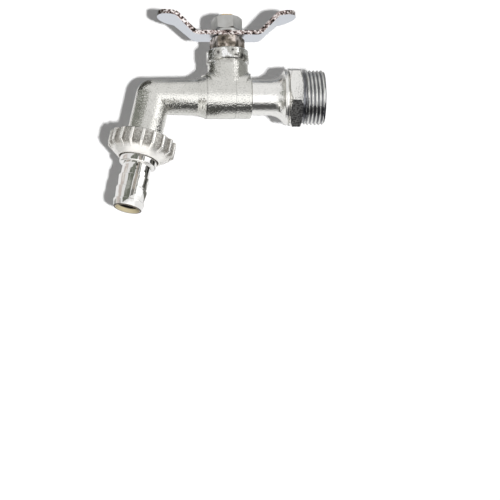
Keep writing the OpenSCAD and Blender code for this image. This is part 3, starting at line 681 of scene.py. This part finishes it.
def rib_ring_tree():
    """Geometry nodes: copies of one rib round the nut's axis, joined with the nut."""
    tree = bpy.data.node_groups.new("rib_ring", "GeometryNodeTree")
    sockets = (("Nut", "Geometry"), ("Rib", "Object"), ("Count", "Int"), ("Turn", "Float"),
               ("Metal", "Material"))
    for name, kind in sockets:
        tree.interface.new_socket(name, in_out="INPUT", socket_type="NodeSocket" + kind)
    tree.interface.new_socket("Ribbed nut", in_out="OUTPUT", socket_type="NodeSocketGeometry")
    given = add(tree, "GroupInput", family="Node").outputs
    step = add(tree, "Math", {0: 2 * math.pi, 1: given["Count"]}, operation="DIVIDE")
    index = add(tree, "InputIndex", family="GeometryNode")
    turn = add(tree, "Math", {0: index.outputs["Index"], 1: step.outputs["Value"], 2: given["Turn"]},
               operation="MULTIPLY_ADD")
    angles = add(tree, "CombineXYZ", {"Z": turn.outputs["Value"]})
    turned = add(tree, "EulerToRotation", {"Euler": angles.outputs["Vector"]}, family="FunctionNode")
    places = add(tree, "Points", {"Count": given["Count"]}, family="GeometryNode")
    rib = add(tree, "ObjectInfo", {"Object": given["Rib"]}, family="GeometryNode")
    ribs = add(tree, "InstanceOnPoints", {"Points": places.outputs["Points"],
                                          "Instance": rib.outputs["Geometry"],
                                          "Rotation": turned.outputs["Rotation"]}, family="GeometryNode")
    real = add(tree, "RealizeInstances", {"Geometry": ribs.outputs["Instances"]}, family="GeometryNode")
    joined = add(tree, "JoinGeometry", family="GeometryNode")
    tree.links.new(real.outputs["Geometry"], joined.inputs["Geometry"])
    tree.links.new(given["Nut"], joined.inputs["Geometry"])
    plated_all = add(tree, "SetMaterial", {"Geometry": joined.outputs["Geometry"],
                                           "Material": given["Metal"]}, family="GeometryNode")
    add(tree, "GroupOutput", {0: plated_all.outputs["Geometry"]}, family="Node")
    return tree


def ribbed_nut_metal(name):
    """Bright on the ribs' crests and on the cone's end, rough as sand and duller between the ribs."""
    material, tree = empty_material(name)
    place = add(tree, "TexCoord").outputs["Object"]
    along, radius = spout_place(tree, place)
    drop = (RIB_R - NUT_RING_R) / (NUT_END - NUT_CONE_START)
    past = add(tree, "Math", {0: along, 1: NUT_CONE_START * MM}, operation="SUBTRACT")
    past = add(tree, "Math", {0: past.outputs["Value"], 1: 0.0}, operation="MAXIMUM")
    skin = add(tree, "Math", {0: past.outputs["Value"], 1: drop, 2: radius}, operation="MULTIPLY_ADD")
    crest = add(tree, "MapRange", {"Value": skin.outputs["Value"], "From Min": (RIB_R - 0.6) * MM,
                                   "From Max": (RIB_R - 0.2) * MM})
    on_cone = add(tree, "MapRange", {"Value": along, "From Min": (NUT_CONE_START + 0.8) * MM,
                                     "From Max": NUT_LAND * MM})
    sand = add(tree, "TexNoise", {"Vector": place, "Scale": 1 / (SAND_GRAIN * MM), "Detail": 3.0,
                                  "Roughness": 0.65})
    sandy = add(tree, "MapRange", {"Value": sand.outputs["Fac"], "From Min": 0.35, "From Max": 0.65})
    grey = add(tree, "Mix", {"Factor": sandy.outputs["Result"], "A": linear("8f8b85"),
                             "B": linear("e6e4df")}, data_type="RGBA")
    colours = add(tree, "Mix", {"Factor": crest.outputs["Result"], "A": grey.outputs["Result"],
                                "B": linear("f5f3ef")}, data_type="RGBA")
    gloss = add(tree, "MapRange", {"Value": crest.outputs["Result"], "To Min": 0.5, "To Max": 0.26})
    depth = add(tree, "MapRange", {"Value": crest.outputs["Result"], "To Min": 1.0, "To Max": 0.35})
    height = add(tree, "Math", {0: sand.outputs["Fac"], 1: depth.outputs["Result"]}, operation="MULTIPLY")
    bump = add(tree, "Bump", {"Strength": 1.0, "Distance": 0.16 * MM, "Height": height.outputs["Value"]})
    shader = finish_metal(tree, colours.outputs["Result"], gloss.outputs["Result"], bump.outputs["Normal"])
    frosted = add(tree, "MapRange", {"Value": on_cone.outputs["Result"], "To Min": 1.0, "To Max": 0.45})
    tree.links.new(frosted.outputs["Result"], shader.inputs["Metallic"])
    return material


# Cast brass under nickel: tumbled bright on its ribs, and sandy grey between them
nickel_cast = ribbed_nut_metal("nickel_plated_cast_nut")
rings = [(NUT_TOP, NUT_BORE_R), (NUT_TOP, NUT_ROOT_R - TOP_ROUND)]
rings += quarter(NUT_TOP + TOP_ROUND, NUT_ROOT_R - TOP_ROUND, TOP_ROUND, -75, 0)
for i in range(7):
    along = NUT_CONE_START + (NUT_LAND - NUT_CONE_START) * i / 6
    rings.append((along, flat_r(along)))
rim_start = NUT_END - RIM_BREAK
rings += [(rim_start, cone_r(rim_start)), (NUT_END, NUT_RING_R - RIM_BREAK),
          (NUT_END, NUT_OPENING_R + RIM_BREAK), (rim_start, NUT_OPENING_R), (NUT_LIP_START, NUT_OPENING_R),
          (NUT_LIP_START, NUT_BORE_R)]
core = turned_mesh("union_nut", rings, 180, lambda along, out, side: Vector((out, side, along)))
nut = show("ribbed_union_nut", core, nickel_cast)
rib_places = (21.5, 21.62, 21.8, 22.0, 24.8, 27.4, 27.8, 28.3, 28.9, 29.5, 30.1, 30.7, 31.1)
rib_mesh = loop_mesh("grip_rib", [rib_section(along) for along in rib_places], closed=False)
rib = show("grip_rib", rib_mesh, nickel_cast)
rib_ring = nut.modifiers.new("rib_ring", "NODES")
rib_ring.node_group = rib_ring_tree()
given = {"Rib": rib, "Count": RIB_COUNT, "Turn": RIB_TURN, "Metal": nickel_cast}
for item in rib_ring.node_group.interface.items_tree:
    if item.name in given:
        rib_ring[item.identifier] = given[item.name]
whole = bpy.data.meshes.new_from_object(nut.evaluated_get(bpy.context.evaluated_depsgraph_get()))
nut.modifiers.remove(rib_ring)
nut.data = whole
bpy.data.objects.remove(rib)
axes = Matrix((SPOUT_OUT, (0, 1, 0), SPOUT_DOWN)).transposed().to_4x4()
whole.transform(Matrix.Translation(ELBOW * MM) @ axes)
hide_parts("union_nut")
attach(nut, "nut")

# ---- Backdrop ----------------------------------------------------------------------------------
# A sheet of white paper that stands upright close behind the tap, so that the tap's shadow falls on it.
# It is clear from behind, and the metal does not mirror it.
BACKDROP_Y = 34 * MM
sheet_mesh = bpy.data.meshes.new("backdrop")
sheet_mesh.from_pydata([(-1, BACKDROP_Y, -1), (1, BACKDROP_Y, -1), (1, BACKDROP_Y, 1), (-1, BACKDROP_Y, 1)],
                       [], [(0, 1, 2, 3)])
backdrop = bpy.data.objects.new("backdrop", sheet_mesh)
scene.collection.objects.link(backdrop)
# White paper: plain and matt, and seen from its front only
paper, tree = empty_material("white_paper")
face = add(tree, "BsdfDiffuse", {"Color": linear("ffffff")})
clear = add(tree, "BsdfTransparent")
side = add(tree, "NewGeometry")
pick = add(tree, "MixShader", {"Fac": side.outputs["Backfacing"], 1: face.outputs["BSDF"],
                               2: clear.outputs["BSDF"]})
add(tree, "OutputMaterial", {"Surface": pick.outputs["Shader"]})
sheet_mesh.materials.append(paper)
backdrop.visible_glossy = False  # the metal shows the room instead

# ---- Light -------------------------------------------------------------------------------------
# One soft lamp from the front casts the shadow. The room is a white tent with a bright front, a dark
# table and a few panels that only the metal shows.
lamp_data = bpy.data.lights.new("front_lamp", "SUN")
lamp_data.energy = 2.85
lamp_data.angle = math.radians(2.4)
lamp = bpy.data.objects.new("front_lamp", lamp_data)
lamp.rotation_mode = "QUATERNION"
lamp.rotation_quaternion = Vector((-0.088, 1, 0.379)).to_track_quat("-Z", "Y")
lamp.visible_glossy = False
scene.collection.objects.link(lamp)

# brightness round the pipe, from straight behind over the top to the front and under to behind
ROUND_THE_PIPE = (
    (-180, 0.9), (-122, 0.95), (-106, 0.6), (-99, 0.12), (-64, 0.08), (-56, 0.5), (-47, 1.25),
    (-38, 1.41), (-12, 1.41), (-2, 1.12), (8, 0.84), (22, 0.9), (70, 0.9), (92, 0.6), (120, 0.38),
    (150, 0.3), (180, 0.35),
)
# brightness round the spout, at the height of the horizon; 0 is the front and 90 the inlet
ROUND_THE_SPOUT = (
    (-180, 1.0), (-118, 0.92), (-76, 0.85), (-46, 0.85), (-10, 0.9), (30, 0.9), (43, 1.75), (84, 1.75),
    (94, 0.95), (180, 1.0),
)
world = bpy.data.worlds.new("studio")
scene.world = world
world.use_nodes = True
tree = world.node_tree
tree.nodes.clear()
ROOM_SIDES = (0.95, 0.95, 0.95, 1)  # brightness of the room's far left and right
SOFT_FILL = (0.225, 0.225, 0.225, 1)  # what the room adds to the paper, the rubber and the PTFE
way = add(tree, "TexCoord").outputs["Generated"]
part = add(tree, "SeparateXYZ", {"Vector": way})
front = add(tree, "Math", {0: part.outputs["Y"], 1: -1.0}, operation="MULTIPLY").outputs["Value"]


def light_ring(side_value, stops):
    """Brightness by the angle in degrees from the front towards a side."""
    angle = add(tree, "Math", {0: side_value, 1: front}, operation="ARCTAN2")
    place = add(tree, "MapRange", {"Value": angle.outputs["Value"], "From Min": -math.pi,
                                   "From Max": math.pi})
    ring = add(tree, "ValToRGB", {"Fac": place.outputs["Result"]})
    ramp = ring.color_ramp
    while len(ramp.elements) < len(stops):
        ramp.elements.new(0.5)
    for element, (degrees, value) in zip(ramp.elements, stops):
        element.position = (degrees + 180) / 360
        element.color = (value, value, value, 1)
    return ring.outputs["Color"]


over_pipe = light_ring(part.outputs["Z"], ROUND_THE_PIPE)
about_spout = light_ring(part.outputs["X"], ROUND_THE_SPOUT)
sideways = add(tree, "Math", {0: part.outputs["X"]}, operation="ABSOLUTE").outputs["Value"]
far_side = add(tree, "MapRange", {"Value": sideways, "From Min": 0.5, "From Max": 0.8})
pipe_part = add(tree, "Mix", {"Factor": far_side.outputs["Result"], "A": over_pipe,
                              "B": ROOM_SIDES}, data_type="RGBA")
below = add(tree, "MapRange", {"Value": part.outputs["Z"], "From Min": -0.12, "From Max": 0.06})
above = add(tree, "MapRange", {"Value": part.outputs["Z"], "From Min": 0.54, "From Max": 0.64,
                               "To Min": 1.0, "To Max": 0.0})
beside = add(tree, "MapRange", {"Value": sideways, "From Min": 0.12, "From Max": 0.24})
level = add(tree, "Math", {0: below.outputs["Result"], 1: above.outputs["Result"]}, operation="MULTIPLY")
level = add(tree, "Math", {0: level.outputs["Value"], 1: beside.outputs["Result"]}, operation="MULTIPLY")
room = add(tree, "Mix", {"Factor": level.outputs["Value"], "A": pipe_part.outputs["Result"],
                         "B": about_spout}, data_type="RGBA")
rays = add(tree, "LightPath")
seen = add(tree, "Math", {0: rays.outputs["Is Camera Ray"], 1: rays.outputs["Is Transmission Ray"]},
           operation="MAXIMUM")
by_metal = add(tree, "Mix", {"Factor": rays.outputs["Is Glossy Ray"], "A": SOFT_FILL,
                             "B": room.outputs["Result"]}, data_type="RGBA")
by_camera = add(tree, "Mix", {"Factor": seen.outputs["Value"], "A": by_metal.outputs["Result"],
                              "B": (1, 1, 1, 1)}, data_type="RGBA")
sky = add(tree, "Background", {"Color": by_camera.outputs["Result"], "Strength": 1.0})
add(tree, "OutputWorld", {"Surface": sky.outputs["Background"]})


def metal_only(piece):
    """A staged piece that only shows in the metal."""
    piece.visible_camera = False
    piece.visible_diffuse = False
    piece.visible_shadow = False
    piece.visible_transmission = False


def card_tone(name, colour, fleck):
    """Card of one tone, with ragged flecks of another."""
    material, nodes = empty_material(name)
    place = add(nodes, "TexCoord").outputs["Object"]
    flecks = add(nodes, "TexNoise", {"Vector": place, "Scale": 1 / (14 * MM), "Detail": 3.0})
    sharp = add(nodes, "MapRange", {"Value": flecks.outputs["Fac"], "From Min": 0.5, "From Max": 0.6})
    tone = add(nodes, "Mix", {"Factor": sharp.outputs["Result"], "A": (*colour, 1), "B": (*fleck, 1)},
               data_type="RGBA")
    glow = add(nodes, "Emission", {"Color": tone.outputs["Result"]})
    add(nodes, "OutputMaterial", {"Surface": glow.outputs["Emission"]})
    return material


def strip_card(name, sections, colour, fleck):
    """A card through pairs of points, one pair after the other."""
    mesh = bpy.data.meshes.new(name)
    verts = [tuple(Vector(point) * MM) for pair in sections for point in pair]
    faces = [(2 * i, 2 * i + 1, 2 * i + 3, 2 * i + 2) for i in range(len(sections) - 1)]
    mesh.from_pydata(verts, [], faces)
    metal_only(show(name, mesh, card_tone(name, colour, fleck)))


def upright_card(name, centre, lean, radius, azimuths, heights, colour, fleck):
    """A card bent round a line that leans like the spout or stands upright, between two azimuths in
    degrees from the front towards the inlet."""
    sections = []
    for i in range(13):
        angle = math.radians(azimuths[0] + (azimuths[1] - azimuths[0]) * i / 12)
        x, y = centre + radius * math.sin(angle), -radius * math.cos(angle)
        sections.append([(x + lean * height, y, height) for height in heights])
    strip_card(name, sections, colour, fleck)


def level_card(name, ends, radius, angles, colour, fleck):
    """A card bent round the level pipe, between two angles in degrees from the front over the top."""
    sections = []
    for i in range(13):
        angle = math.radians(angles[0] + (angles[1] - angles[0]) * i / 12)
        sections.append([(x, -radius * math.cos(angle), radius * math.sin(angle)) for x in ends])
    strip_card(name, sections, colour, fleck)


# tones of the cards, each with the tone of its flecks, in linear red, green and blue
GREY_GREEN, PALE_GREEN = (0.24, 0.25, 0.22), (0.34, 0.35, 0.32)
SAGE, PALE_SAGE = (0.4, 0.41, 0.38), (0.55, 0.55, 0.52)
WARM_GREY, CREAM = (0.6, 0.54, 0.51), (0.8, 0.78, 0.74)
BEIGE, UMBER = (0.46, 0.42, 0.37), (0.2, 0.2, 0.19)
DARK_GREEN, BLACK, SOOT = (0.17, 0.18, 0.15), (0.02, 0.02, 0.018), (0.2, 0.2, 0.18)
GREY, BLUE_BLACK, BRIGHT = (0.36, 0.36, 0.35), (0.03, 0.03, 0.045), (1.2, 1.19, 1.16)
# dark cards beside the spout
upright_card("spout_side_card", -79, 0, 60, (-118, -50), (6, 37), GREY_GREEN, PALE_GREEN)
upright_card("spout_front_card", -79, 0, 60, (-50, -22), (4, 31), SAGE, PALE_SAGE)
# narrow panels round the polished tail, which mirrors them
axis_x, lean = ELBOW.x, math.tan(SPOUT_LEAN)
TAIL_CARD_R = 40
upright_card("tail_side_card", axis_x, lean, TAIL_CARD_R, (-101, -69), (-51, -17), WARM_GREY, CREAM)
upright_card("tail_front_card", axis_x, lean, TAIL_CARD_R, (-47, -6), (-50, -22), DARK_GREEN, SAGE)
upright_card("tail_middle_card", axis_x, lean, TAIL_CARD_R, (-1, 21), (-50, -24), BEIGE, UMBER)
upright_card("tail_dark_strip", axis_x, lean, TAIL_CARD_R, (25, 33), (-50, -25), GREY_GREEN, PALE_SAGE)
upright_card("tail_top_card", axis_x, lean, TAIL_CARD_R - 1, (-9, 30), (-27, -23), BLACK, SOOT)
upright_card("tail_right_card", axis_x, lean, TAIL_CARD_R, (73, 112), (-50, -29), BLACK, SOOT)
upright_card("tail_back_card", axis_x, lean, TAIL_CARD_R, (112, 148), (-50, -43), BLACK, SOOT)
# cards in front of the thread: grey above, a dark strip at their middle, blackish below
THREAD_CARD_R = 50
THREAD_CARD_ENDS = (1, 60)
level_card("thread_upper_card", THREAD_CARD_ENDS, THREAD_CARD_R, (33, 95), GREY, SAGE)
level_card("thread_middle_card", THREAD_CARD_ENDS, THREAD_CARD_R, (6, 33), SOOT, GREY)
level_card("thread_lower_card", THREAD_CARD_ENDS, THREAD_CARD_R, (-128, -51), BLUE_BLACK, SOOT)
# the thread's flanks look sideways at a grey and a blackish card past its end
ends = ((22, -45), (22, 60))
strip_card("upper_end_card", [[(*end, height) for height in (7, 60)] for end in ends], GREY, SAGE)
strip_card("lower_end_card", [[(*end, height) for height in (-30, -8)] for end in ends], BLUE_BLACK, SOOT)
# a bright card under the nut for its cone, a grey one to the left of it, and a dark one up beside the
# elbow for its outer corner
under = (((-118, -45, -62), (-118, 12, -62)), ((-74, -45, -62), (-74, 12, -62)))
strip_card("under_nut_card", under, BRIGHT, BRIGHT)
under_left = (((-130, -30, -58), (-112, 40, -58)), ((-150, -30, -36), (-125, 40, -36)))
strip_card("under_left_card", under_left, GREY, SAGE)
over_elbow = (((-132, -14, 40), (-130, 44, 30)), ((-84, -22, 58), (-84, 46, 56)))
strip_card("elbow_card", over_elbow, BLACK, SOOT)

# ---- Camera ------------------------------------------------------------------------------------
# A long lens a little below the tap and to its left, rolled so that the pipe lies level. It is placed
# so that the stem axis stands at its own place in the frame.
FRAME_PX = 500
PX_PER_M = 2080
STEM_AXIS_PX = (228.5, 97.3)  # where the stem axis meets the pipe axis in the frame
CAMERA_AZIMUTH = math.radians(-6.3)
CAMERA_ELEVATION = math.radians(-18.6)
LENS_MM = 200
SENSOR_MM = 36

camera_distance = FRAME_PX / PX_PER_M * LENS_MM / SENSOR_MM
offset_right = (STEM_AXIS_PX[0] - FRAME_PX / 2) / PX_PER_M
offset_up = (FRAME_PX / 2 - STEM_AXIS_PX[1]) / PX_PER_M
# the tap stands off the lens axis, so the axis is turned back by the angle to it
axis_azimuth = CAMERA_AZIMUTH - math.atan(offset_right / camera_distance)
axis_elevation = CAMERA_ELEVATION + math.atan(offset_up / camera_distance)
back = Vector((
    math.sin(axis_azimuth) * math.cos(axis_elevation),
    -math.cos(axis_azimuth) * math.cos(axis_elevation),
    math.sin(axis_elevation),
))
right = back.cross(Vector((1, 0, 0))).cross(back).normalized()  # the pipe stays level
up = back.cross(right)
camera_data = bpy.data.cameras.new("camera")
camera_data.lens = LENS_MM
camera_data.sensor_width = SENSOR_MM
camera_data.clip_start = 0.05
camera_data.clip_end = 20
camera = bpy.data.objects.new("camera", camera_data)
scene.collection.objects.link(camera)
stem_place = Vector((STEM_X * MM, 0, 0))
camera_place = stem_place - right * offset_right - up * offset_up + back * camera_distance
camera.matrix_world = Matrix.Translation(camera_place) @ Matrix((right, up, back)).transposed().to_4x4()
scene.camera = camera
